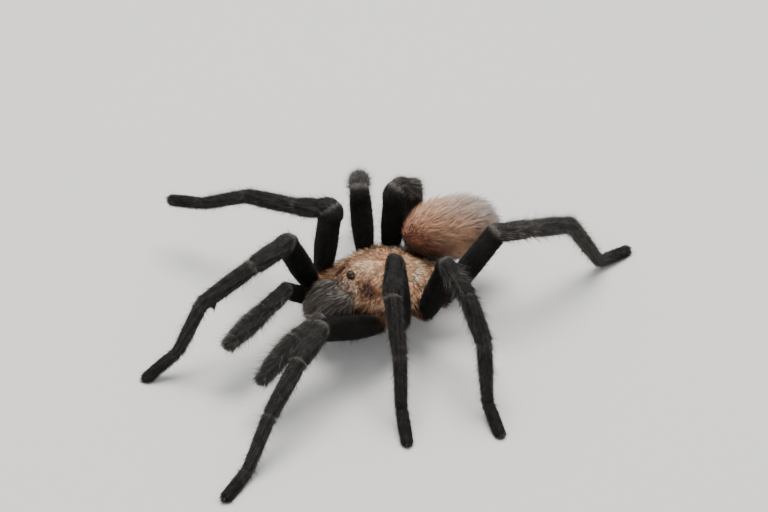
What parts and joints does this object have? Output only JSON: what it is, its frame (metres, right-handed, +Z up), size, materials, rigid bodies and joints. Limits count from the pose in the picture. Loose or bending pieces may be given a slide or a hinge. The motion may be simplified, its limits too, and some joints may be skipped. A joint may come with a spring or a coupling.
{
  "type": "tarantula",
  "caption": "Life-size still model of a standing tarantula: low domed body, oval hairy abdomen, feelers held forward and long jointed legs spread in mid stride.",
  "frame": {"origin": "on the floor, under the middle of the whole animal's box", "axes": "+Z up, the head towards -Y, the animal's left side at +X"},
  "size_m": [0.081, 0.1032, 0.0252],
  "materials": {
    "shield": "horny shell under short coppery tan hair",
    "dark_coat": "near-black brown skin under short velvety hair",
    "abdomen_coat": "soft skin under long salmon-tan hair with a pale fringe",
    "underside": "dark brown velvety underside",
    "horn": "polished black horn of the fangs, claws and eyes"
  },
  "bodies": {
    "root": {"abdomen": "abdomen_coat", "carapace": "shield", "chelicera_left": "dark_coat", "chelicera_right": "dark_coat", "eye_mound": "horn", "fang_left": "horn", "fang_right": "horn", "leg_left_1_coxa": "dark_coat", "leg_left_1_femur": "dark_coat", "leg_left_1_foot": "dark_coat", "leg_left_1_patella": "dark_coat", "leg_left_1_tibia": "dark_coat", "leg_left_2_coxa": "dark_coat", "leg_left_2_femur": "dark_coat", "leg_left_2_foot": "dark_coat", "leg_left_2_patella": "dark_coat", "leg_left_2_tibia": "dark_coat", "leg_left_3_coxa": "dark_coat", "leg_left_3_femur": "dark_coat", "leg_left_3_foot": "dark_coat", "leg_left_3_patella": "dark_coat", "leg_left_3_tibia": "dark_coat", "leg_left_4_coxa": "dark_coat", "leg_left_4_femur": "dark_coat", "leg_left_4_foot": "dark_coat", "leg_left_4_patella": "dark_coat", "leg_left_4_tibia": "dark_coat", "leg_right_1_coxa": "dark_coat", "leg_right_1_femur": "dark_coat", "leg_right_1_foot": "dark_coat", "leg_right_1_patella": "dark_coat", "leg_right_1_tibia": "dark_coat", "leg_right_2_coxa": "dark_coat", "leg_right_2_femur": "dark_coat", "leg_right_2_foot": "dark_coat", "leg_right_2_patella": "dark_coat", "leg_right_2_tibia": "dark_coat", "leg_right_3_coxa": "dark_coat", "leg_right_3_femur": "dark_coat", "leg_right_3_foot": "dark_coat", "leg_right_3_patella": "dark_coat", "leg_right_3_tibia": "dark_coat", "leg_right_4_coxa": "dark_coat", "leg_right_4_femur": "dark_coat", "leg_right_4_foot": "dark_coat", "leg_right_4_patella": "dark_coat", "leg_right_4_tibia": "dark_coat", "palp_left_coxa": "dark_coat", "palp_left_femur": "dark_coat", "palp_left_patella": "dark_coat", "palp_left_tibia": "dark_coat", "palp_right_coxa": "dark_coat", "palp_right_femur": "dark_coat", "palp_right_patella": "dark_coat", "palp_right_tibia": "dark_coat", "pedicel": "dark_coat", "spinneret_left": "dark_coat", "spinneret_right": "dark_coat", "sternum": "underside"}
  },
  "joints": []
}
